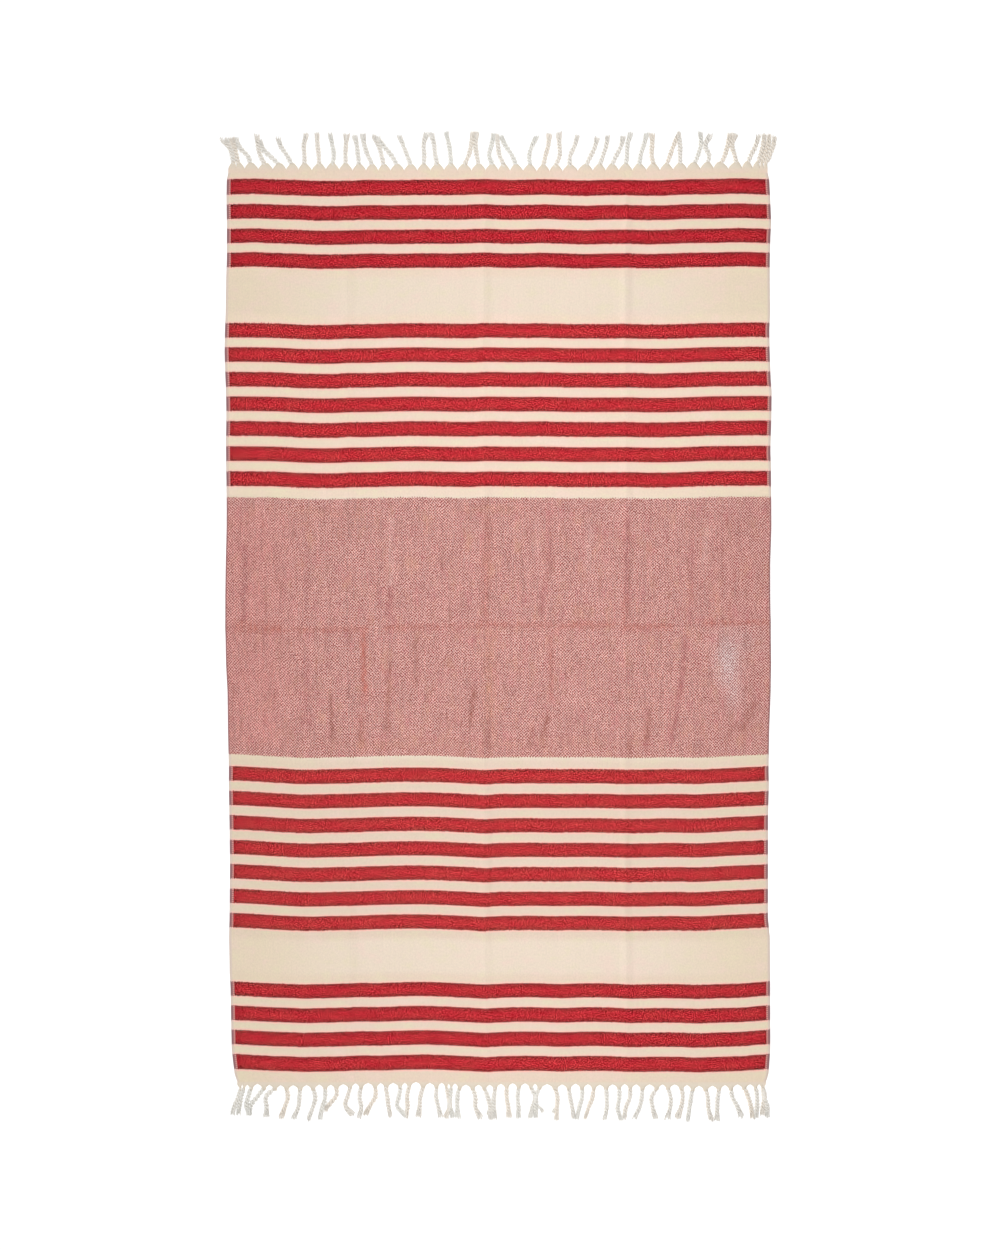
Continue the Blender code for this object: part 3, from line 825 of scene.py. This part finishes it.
def add_tuft(surface, fringe, cord, tint, chance):
    """The loose yarns of a cord's tip, spread like a small brush."""
    neck = (PLY_RADIUS + PLY_OFFSET) * fringe.girth * FRAYED_NECK
    spread = cord.brush / 2 * FRAYED_SPREAD - YARN_RADIUS
    t = np.linspace(0, 1, YARN_RINGS)
    for yarn in range(FRAYED_YARNS):
        place = (yarn + 0.5) / FRAYED_YARNS * 2 - 1
        start = cord.reach - FRAYED_LENGTH * chance.uniform(*FRAYED_UNEVENNESS)
        end = cord.reach + chance.uniform(*FRAYED_OVERHANG)
        outs = np.linspace(start, end, YARN_RINGS)
        line = cord_line(fringe, cord, np.minimum(outs, cord.reach))
        line[:, 1] = fringe.outward * (fringe.root_line + outs)
        side, _ = moving_frame(line)
        curl = chance.uniform(-YARN_CURL, YARN_CURL) * np.sin(math.pi * t)
        sideways = place * (neck + (spread - neck) * t**FRAYED_FLARE) + curl
        upward = chance.uniform(-1, 1) * (FRAYED_RISE - FRAYED_CLOSING * t) - FRAYED_DROOP * t
        line = line + sideways[:, None] * side + upward[:, None] * (0, 0, 1)
        line[:, 2] = np.maximum(line[:, 2], YARN_RADIUS)
        radius = YARN_RADIUS * chance.uniform(*YARN_UNEVENNESS)
        add_yarn(surface, line, radius, chance.uniform(*YARN_SHADE), tint)


def add_wisp(surface, fringe, wisp, chance):
    """A few loose yarns that leave the side of their cord together and sink to the floor."""
    cord = next(cord for cord in fringe.cords if cord.root == wisp.root)
    x, _, z = cord_line(fringe, cord, np.array([wisp.out], float))[0]
    t = np.linspace(0, 1, YARN_RINGS)
    for yarn in range(WISP_YARNS):
        tip = wisp.tip + ((yarn + 0.5) / WISP_YARNS - 0.5) * WISP_SPREAD
        reach = wisp.reach + chance.uniform(-WISP_UNEVENNESS, WISP_UNEVENNESS)
        across = x + (tip - x) * np.sin(math.pi / 2 * t)
        along = fringe.outward * (fringe.root_line + wisp.out + (reach - wisp.out) * t)
        height = z + (WISP_TIP_HEIGHT - z) * t
        line = stacked(across, along, height)
        add_yarn(surface, line, WISP_YARN_RADIUS, WISP_SHADE, WISP_TINT)


def header_net(fringe, chance):
    """The last of the cloth seen from above: an even strip up to the notches, then a gather for each cord.

    Each of its points says where it lies across and how far out, where it was across the woven cloth, how
    far it rises and how far it is drawn in.
    """
    left, right = selvedges(fringe.cloth_end)
    roots = np.array([cord.root for cord in fringe.cords], float)
    bounds = np.concatenate([[left], (roots[1:] + roots[:-1]) / 2, [right]])
    notches = notch_line(fringe, bounds) + chance.uniform(-NOTCH_UNEVENNESS, NOTCH_UNEVENNESS, len(bounds))
    steps = np.arange(len(roots) * GATHER_CELLS + 1) / GATHER_CELLS
    place = np.interp(steps, np.arange(len(bounds)), bounds)
    notch = np.interp(steps, np.arange(len(bounds)), notches)
    start = abs(fringe.cloth_end) - GATHER_OVERLAP
    out = start + (notch - start) * np.linspace(0, 1, STRIP_ROWS)[:, None]
    across = np.broadcast_to(place, out.shape)
    points = [stacked(across, out, across, 0 * out, 0 * out).reshape(-1, 5)]
    faces = [grid_faces(STRIP_ROWS, len(place))]
    count = out.size
    cells = np.arange(GATHER_CELLS + 1)
    crown = GATHER_CROWN * np.sqrt(np.clip(1 - (cells / GATHER_CELLS * 2 - 1) ** 2, 0, 1))
    for number, root in enumerate(roots):
        columns = number * GATHER_CELLS + cells
        before = (STRIP_ROWS - 1) * len(place) + columns
        for row in fringe.gather:
            drawn = root + (place[columns] - root) * row.width
            outs = notch[columns] + fringe.gather_length * row.out
            rise = crown * row.out**GATHER_SLOPE
            drawn_in = np.full_like(drawn, row.out)
            points.append(stacked(drawn, outs, place[columns], rise, drawn_in))
            after = count + cells
            faces.append(stacked(before[:-1], before[1:], after[1:], after[:-1]))
            before = after
            count += len(cells)
    return np.concatenate(points), np.concatenate(faces)


def add_header(surface, fringe, chance):
    """The last of the cloth, drawn together thread by thread into the root of each cord."""
    points, upper = header_net(fringe, chance)
    x, out, came_from, rise, drawn_in = points.T
    upper = upper if fringe.outward > 0 else upper[:, ::-1]
    left, right = selvedges(fringe.cloth_end)
    flat = ((came_from - left) / (right - left) - 0.5) * CLOTH_WIDTH
    y = fringe.outward * out
    under = swell(flat, y) * (1 - drawn_in)
    over = under + CLOTH_THICKNESS - SEAM_STEP + rise
    layers = [stacked(x, y, height) * MM for height in (under, over)]
    share = stacked(x / CLOTH_WIDTH + 0.5, (out - out.min()) / (out.max() - out.min()))
    places = [place + share * HEADER_BAKE_SIZE for place in (HEADER_BAKE_UNDER, HEADER_BAKE_OVER)]
    bake = np.concatenate(places)
    seam = np.isclose(out, out.min())
    add_sheet(surface, *layers, flat, y, upper, lambda faces, _: bake[faces], seam)


def make_fringe(fringe, weave, yarn):
    chance = np.random.default_rng(FRINGE_SEED + fringe.outward)
    surface = Surface()
    add_header(surface, fringe, chance)
    for cord in fringe.cords:
        add_cord(surface, fringe, cord, chance)
    for wisp in fringe.wisps:
        add_wisp(surface, fringe, wisp, chance)
    return new_piece(fringe.name, surface.mesh(fringe.name), [weave, yarn])


# ---- materials

class Value:
    """What one of a material's nodes gives, and the sums that can be done with it."""

    def __init__(self, graph, socket):
        self.graph, self.socket = graph, socket

    def __add__(self, other):
        return self.graph.math("ADD", self, other)

    def __mul__(self, other):
        return self.graph.math("MULTIPLY", self, other)

    def __sub__(self, other):
        return self.graph.math("SUBTRACT", self, other)

    def __rsub__(self, other):
        return self.graph.math("SUBTRACT", other, self)

    def __truediv__(self, other):
        return self * (1 / other)

    def __abs__(self):
        return self.graph.math("ABSOLUTE", self)

    __radd__, __rmul__ = __add__, __mul__


class Graph:
    """Builds one material's nodes, from places u across and v along the flat cloth, in millimetres."""

    def __init__(self, name, uv_map=None):
        self.material = bpy.data.materials.new(name)
        self.material.use_nodes = True
        self.tree = self.material.node_tree
        self.shader = self.tree.nodes["Principled BSDF"]
        if uv_map:
            place = self.node("ShaderNodeSeparateXYZ", {0: self.value("ShaderNodeUVMap", uv_map=uv_map)})
            self.u, self.v = (Value(self, axis) / MM for axis in place.outputs[:2])

    def node(self, kind, inputs=(), **settings):
        node = self.tree.nodes.new(kind)
        for name, value in settings.items():
            setattr(node, name, value)
        for socket, value in dict(inputs).items():
            self.join(node.inputs[socket], value)
        return node

    def join(self, socket, value):
        if isinstance(value, Value):
            self.tree.links.new(value.socket, socket)
        else:
            socket.default_value = value

    def value(self, kind, inputs=(), output=0, **settings):
        return Value(self, self.node(kind, inputs, **settings).outputs[output])

    def math(self, operation, a, b=0.0):
        return self.value("ShaderNodeMath", {0: a, 1: b}, operation=operation)

    def wave(self, value, length):
        """A sine of this wavelength."""
        return self.math("SINE", value * (2 * math.pi / length))

    def smooth(self, value, start, end):
        """From 0 to 1 as the value goes from start to end."""
        inputs = {"Value": value, "From Min": start, "From Max": end}
        return self.value("ShaderNodeMapRange", inputs, "Result", interpolation_type="SMOOTHSTEP")

    def mix(self, share, a, b, blend="MIX"):
        return self.value("ShaderNodeMix", {0: share, 6: a, 7: b}, 2, data_type="RGBA", blend_type=blend)

    def scaled(self, colour, factor):
        """The colour made lighter or darker by a factor."""
        colour = colour if isinstance(colour, Value) else colour[:3]
        return self.value("ShaderNodeVectorMath", {0: colour, "Scale": factor}, operation="SCALE")

    def attribute(self, name):
        return self.value("ShaderNodeAttribute", (), "Fac", attribute_name=name)

    def speck(self, across, along, detail, lift):
        """Soft noise from about -1 to 1, with grains of this size. Each use has a lift of its own."""
        place = self.value("ShaderNodeCombineXYZ", {0: self.u / across, 1: self.v / along, 2: lift})
        inputs = {"Vector": place, "Scale": 1.0, "Detail": detail, "Roughness": 0.6}
        return (self.value("ShaderNodeTexNoise", inputs, "Fac") - 0.5) * 4.0

    def shaded(self, values):
        """The material, with these values given to its shader."""
        for name, value in values.items():
            self.join(self.shader.inputs[name], value)
        return self.material

    def finished(self, colour, height, relief, roughness, sheen):
        """The material of a rough cloth or yarn with this colour and relief."""
        bump = self.value("ShaderNodeBump", {"Height": height, "Distance": relief * MM, "Strength": 1.0})
        values = {
            "Base Color": colour,
            "Normal": bump,
            "Roughness": roughness,
            "Specular IOR Level": COTTON_SPECULAR,
            "Sheen Weight": sheen,
            "Sheen Roughness": COTTON_SHEEN_ROUGHNESS,
        }
        return self.shaded(values)


def ecru_ground(g, narrow, edge, light):
    """Plain-woven ecru: fine warp streaks, soft clouding in tone and tint, and the crossing threads."""
    streak = g.speck(3.6, 90, 3, 1)
    cloud = g.speck(50, 60, 2, 2)
    grain = g.speck(3.0, 3.8, 2, 4)
    tint = g.speck(26, 20, 2, 3) + g.speck(90, 60, 1, 26)
    factor = 1.0 + streak * 0.013 + cloud * 0.008 + grain * 0.058
    factor = factor * (1.0 + narrow * (light - 1.0))
    base = g.mix(narrow, ECRU, ECRU_NARROW)
    base = g.mix(g.smooth(edge, 240, 40) * 0.8, base, ECRU_SIDE)
    base = g.mix(g.smooth(tint, 0, 1.2) * 0.48, base, ECRU_ROSY)
    base = g.mix(g.smooth(tint, 0, -1.2) * 0.48, base, ECRU_STRAW)
    return g.scaled(base, factor), g.wave(g.u, THREAD * 2) * g.wave(g.v, THREAD * 2)


def red_stripe(g, depth, edge, light):
    """Weft-faced red: long floats, darker towards its edges with a line of painted shade, and lighter and
    darker flecks.
    """
    first, *between, last = RED_TONES
    ramp = g.node("ShaderNodeValToRGB", {"Fac": depth / last.depth})
    stops = ramp.color_ramp.elements
    stops[0].position, stops[0].color = 0.0, first.colour
    stops[1].position, stops[1].color = 1.0, last.colour
    for tone in between:
        stops.new(tone.depth / last.depth).color = tone.colour
    grain = g.speck(2.0, 1.8, 1, 5)
    fleck = g.speck(4.6, 3.2, 2, 16)
    cloud = g.speck(22, 9, 3, 6)
    warmth = g.speck(36, 16, 3, 19)
    flecks = grain * 9.5 + fleck * 1.3 + cloud * 1.1
    colour = g.mix(g.attribute("faded"), Value(g, ramp.outputs["Color"]), FADED_RED)
    colour = g.mix(1.0, colour, g.scaled(RED_FLECK, flecks), "ADD")
    colour = g.mix(1.0, colour, g.scaled(RED_WARMTH, warmth), "ADD")
    near_edge = g.smooth(edge, 26, 8)
    colour = g.scaled(colour, 1.0 + (light - 1.0) * 0.8 - near_edge * 0.16)
    row = g.math("FLOOR", g.v / THREAD)
    shifted = g.u + g.math("MODULO", row, 2.0) * (LATTICE_ACROSS / 2)
    return colour, g.wave(g.v, THREAD) * g.wave(shifted, LATTICE_ACROSS) + grain * 0.5


def fold_marks(g):
    """The colour and strength of the marks along the middle panel's folds, partly painted shade on their
    crests.
    """
    wander = g.speck(26, 22, 2, 21) * MARK_WANDER
    broken = g.smooth(g.speck(4, 15, 3, 22), -0.8, 0.8)
    marks = [(mark, g.u, g.v, MARK_SPREAD, MARK_FADE) for mark in MARKS]
    marks += [(mark, g.v, g.u, CROSS_MARK_SPREAD, CROSS_MARK_FADE) for mark in CROSS_MARKS]
    tint, total = MARK_TINTS["rust"], 0.0
    for mark, across, along, spread, fading in marks:
        middle, reach = (mark.start + mark.end) / 2, (mark.end - mark.start) / 2
        away = abs(across + wander - ((along - middle) * mark.lean + mark.place))
        there = g.smooth(away, mark.half_width * spread, 0) * mark.share
        there = there * g.smooth(abs(along - middle), reach, max(reach - fading, 0))
        tint = g.mix(g.smooth(there, 0, 0.25), tint, MARK_TINTS[mark.tint])
        total = g.math("MAXIMUM", total, there)
    return tint, total * (0.2 + broken * 1.05)


def mixed_panel(g, pale):
    """Red and ecru crossing in small uneven diamonds, with marks along its folds that are partly painted
    shade.
    """
    wander_across = g.speck(60, 75, 1, 7) * 1.3 + g.speck(15, 24, 1, 17) * 0.9
    wander_along = g.speck(75, 60, 1, 8) * 1.3 + g.speck(20, 15, 1, 27) * 0.9
    x = (g.u + wander_across) / LATTICE_ACROSS
    y = (g.v + wander_along) / LATTICE_ALONG
    lean = g.speck(26, 34, 2, 9) * 0.13
    lattice = g.wave(x - y, 1.0) * (0.5 + lean) + g.wave(x + y, 1.0) * (0.5 - lean)
    grain = g.speck(1.8, 2.6, 1, 10)
    weave = g.smooth(lattice * 1.25 + grain * 1.15, -0.8, 0.8)
    pale = pale * (0.85 + grain * 0.3)
    red = g.mix(pale, PANEL_RED, PANEL_RED_PALE)
    ecru = g.mix(pale, PANEL_ECRU, PANEL_ECRU_PALE)
    tan = g.smooth(g.speck(24, 44, 3, 12), 0, 1.2)
    rose = g.smooth(g.speck(20, 38, 3, 15), 0, 1.2)
    colour = g.mix(tan * 0.38, g.mix(weave, red, ecru), PANEL_TAN)
    colour = g.mix(rose * 0.36, colour, PANEL_ROSE)
    # The fold marks: partly the panel's own colour, partly painted shade along its wrinkles.
    tint, strength = fold_marks(g)
    shading = 0.62 + weave * 0.62
    colour = g.mix(strength, colour, g.scaled(tint, shading))
    # Brown streaks along the warp.
    brown_streaks = g.smooth(g.speck(7, 50, 3, 23), 0.15, 1.1)
    colour = g.mix(brown_streaks * 0.5, colour, g.scaled(MARK_TINTS["brown"], shading))
    streak = g.speck(5, 16, 3, 11)
    shade = g.speck(13, 80, 2, 18)
    return g.scaled(colour, 1.01 + streak * 0.14 + shade * 0.1), lattice


def selvedge(g, edge, colour, red, panel):
    """The outermost warp threads, doubled up, where the weft turns back."""
    dots = g.smooth(g.wave(g.v, SELVEDGE_DOTS_EVERY), 0, 0.9)
    inner = g.mix(dots, SELVEDGE_INNER, SELVEDGE_DOT)
    inner = g.mix(g.smooth(edge, 5.0, 3.4), inner, SELVEDGE_OUTER)
    colour = g.mix(red * g.smooth(edge, 7.6, 6.4), colour, inner)
    turned = g.mix(dots * g.smooth(edge, 2.0, 0.8), PANEL_SELVEDGE, PANEL_SELVEDGE_DOT)
    colour = g.mix(panel * g.smooth(edge, 3.8, 1.4) * 0.7, colour, turned)
    plain = 1.0 - g.math("MAXIMUM", red, panel)
    return g.mix(plain * g.smooth(edge, 5.6, 3.2) * 0.7, colour, ECRU_EDGE)


def crease_lines(g, colour, panel):
    """Painted shade and wear: a dark line along the crest of each main fold and the cross fold, broken and
    wandering.
    """
    nearest = CLOTH_WIDTH
    for number, fold in enumerate(MAIN_FOLDS):
        wander = g.speck(UNCHANGING, 70, 2, 20 + number) * 1.6
        nearest = g.math("MINIMUM", nearest, abs(g.u - fold.flat + wander))
    wander = g.speck(60, UNCHANGING, 2, 24) * 2.2
    cross = abs(g.v - CROSS_FOLD_ALONG + wander - g.u * CROSS_FOLD_SLANT)
    patchy = g.smooth(g.speck(40, 50, 2, 25), -1.0, 0.6)
    line = g.smooth(nearest, 1.9, 0.5) * (0.35 + patchy * 0.65)
    cross_line = g.smooth(cross, 2.2, 0.5) * (0.2 + patchy * 0.6)
    # Painted shade and wear along the creases, stronger in the panel.
    dark = g.math("MAXIMUM", line, cross_line * 0.8) * (0.03 + panel * 0.11)
    return g.scaled(colour, 1.0 - dark)


def woven_cotton():
    """The whole cloth: ecru ground, red stripes, mixed panel and selvedges."""
    g = Graph("woven_cotton_stripes", "weave")
    edge = HALF_WIDTH - abs(g.u)
    jitter = g.wave(g.u, TOOTH) * 0.6 + g.speck(3.4, 30, 2, 13) * 1.1
    depth = g.attribute("stripe_depth") + jitter
    inside = g.attribute("panel_depth") + jitter * 1.2 + g.wave(g.u, LATTICE_ACROSS) * 0.9
    red = g.smooth(depth, -0.6, 0)
    panel = g.smooth(inside, -1.1, -0.3)
    header = g.smooth(abs(g.v), NARROW_BANDS_FROM, NARROW_BANDS_FULLY)
    narrow = g.math("MAXIMUM", g.smooth(depth, -24, -10), header)
    light = g.attribute("light")
    colour, height = ecru_ground(g, narrow, edge, light)
    colour = g.mix(g.smooth(depth, -4.6, -1.2), colour, PINK_LINE)
    panel_colour, panel_height = mixed_panel(g, g.attribute("pale"))
    red_colour, red_height = red_stripe(g, depth, edge, light)
    colour = g.mix(red, g.mix(panel, colour, panel_colour), red_colour)
    height = g.mix(red, g.mix(panel, height, panel_height), red_height)
    colour = selvedge(g, edge, colour, red, panel)
    colour = crease_lines(g, colour, panel)
    pucker = g.speck(9, 14, 2, 14)
    return g.finished(colour, height + pucker * 0.9, *CLOTH_FINISH)


def gathered_cotton():
    """The ecru ground again, where the warp is drawn together."""
    g = Graph("gathered_cotton", "weave")
    colour, height = ecru_ground(g, 1.0, CLOTH_WIDTH, 1.0)
    drawn = g.smooth(abs(g.v), CLOTH_TOP, GATHERED_FULLY)
    return g.finished(g.mix(drawn, colour, GATHERED), height, *CLOTH_FINISH)


def twisted_yarn():
    """Ecru yarn, its fine fibres slanting round each ply. Here u goes round the ply, and v along it."""
    g = Graph("twisted_cotton_yarn", "weave")
    fibre = g.wave(g.v / FIBRE_PITCH + g.u / ONCE_ROUND * FIBRE_TURNS, 1.0)
    fluff = g.speck(ONCE_ROUND / 2, 1.2, 2, 30)
    # The shade attribute is painted shade in the grooves between a cord's plies; on loose yarns it only
    # sets their tone.
    tone = fibre * 0.08 + fluff * 0.35 - g.attribute("shade") * 0.38
    colour = g.mix(g.smooth(tone, -0.9, 0.3), CORD_SHADE, CORD_COLOUR)
    tint = g.attribute("tint")
    colour = g.mix(g.smooth(tint, 0, 1) * 0.35, colour, CORD_WARM)
    colour = g.mix(g.smooth(tint, 0, -1) * 0.25, colour, CORD_COOL)
    return g.finished(colour, fibre + fluff, *YARN_FINISH)


# ---- surroundings

WHITE = (1.0, 1.0, 1.0, 1.0)
FLOOR_COLOUR = (0.9, 0.9, 0.9, 1.0)
FLOOR_GLOW = 0.36
SKY_STRENGTH = 0.42
CAMERA_LENS = 85.0
CAMERA_SENSOR = 36.0

# These are in metres: the floor, the part of it that the picture shows, and the lamps.
FLOOR_SIZE = 16.0
FLOOR_LEVEL = -0.0003
SEEN_HEIGHT = 2.2875
SEEN_MIDDLE = (0.0018, 0.0010)
CLOTH_LEVEL = 0.0025
LAMPS = table(
    "name place target size watts",
    ("overhead_strip", (0.08, 0.0, 1.45), (0.08, 0.0, 0.0), (0.5, 5.2), 29.5),
    ("side_softbox", (-6.0, 1.5, 2.0), (0.0, 0.0, 0.0), (2.4, 2.4), 84.0),
)


def make_floor():
    """A pale floor just under the cloth, reaching well past the picture on all sides."""
    mesh = bpy.data.meshes.new("floor")
    half, level = FLOOR_SIZE / 2, FLOOR_LEVEL
    corners = [(-half, -half, level), (half, -half, level), (half, half, level), (-half, half, level)]
    mesh.from_pydata(corners, [], [(0, 1, 2, 3)])
    floor = new_object("floor", mesh)
    values = {
        "Base Color": FLOOR_COLOUR,
        "Roughness": 1.0,
        "Specular IOR Level": 0.0,
        "Emission Color": WHITE,
        "Emission Strength": FLOOR_GLOW,
    }
    mesh.materials.append(Graph("pale_floor").shaded(values))


def make_lights():
    for lamp in LAMPS:
        light = bpy.data.lights.new(lamp.name, "AREA")
        light.shape = "RECTANGLE"
        light.size, light.size_y = lamp.size
        light.energy = lamp.watts
        obj = new_object(lamp.name, light)
        obj.location = lamp.place
        aim = Vector(lamp.target) - Vector(lamp.place)
        obj.rotation_euler = aim.to_track_quat("-Z", "Y").to_euler()
        obj.visible_camera = False
    world = bpy.data.worlds.new("studio")
    world.use_nodes = True
    sky = world.node_tree.nodes["Background"]
    sky.inputs["Color"].default_value = WHITE
    sky.inputs["Strength"].default_value = SKY_STRENGTH
    bpy.context.scene.world = world
    bpy.context.scene.view_settings.view_transform = "Standard"


def make_camera():
    """Looks straight down at the towel's middle."""
    camera = bpy.data.cameras.new("camera")
    camera.lens = CAMERA_LENS
    camera.sensor_width = CAMERA_SENSOR
    obj = new_object("camera", camera)
    distance = SEEN_HEIGHT / 2 / (CAMERA_SENSOR / 2 / CAMERA_LENS)
    obj.location = (*SEEN_MIDDLE, distance + CLOTH_LEVEL)
    bpy.context.scene.camera = obj


# ---- the towel

make_camera()
make_floor()
make_lights()
cloth = make_cloth(woven_cotton())
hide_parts("cloth")
gathers, yarns = gathered_cotton(), twisted_yarn()
for fringe in FRINGES:
    piece = make_fringe(fringe, gathers, yarns)
    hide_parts(fringe.node)
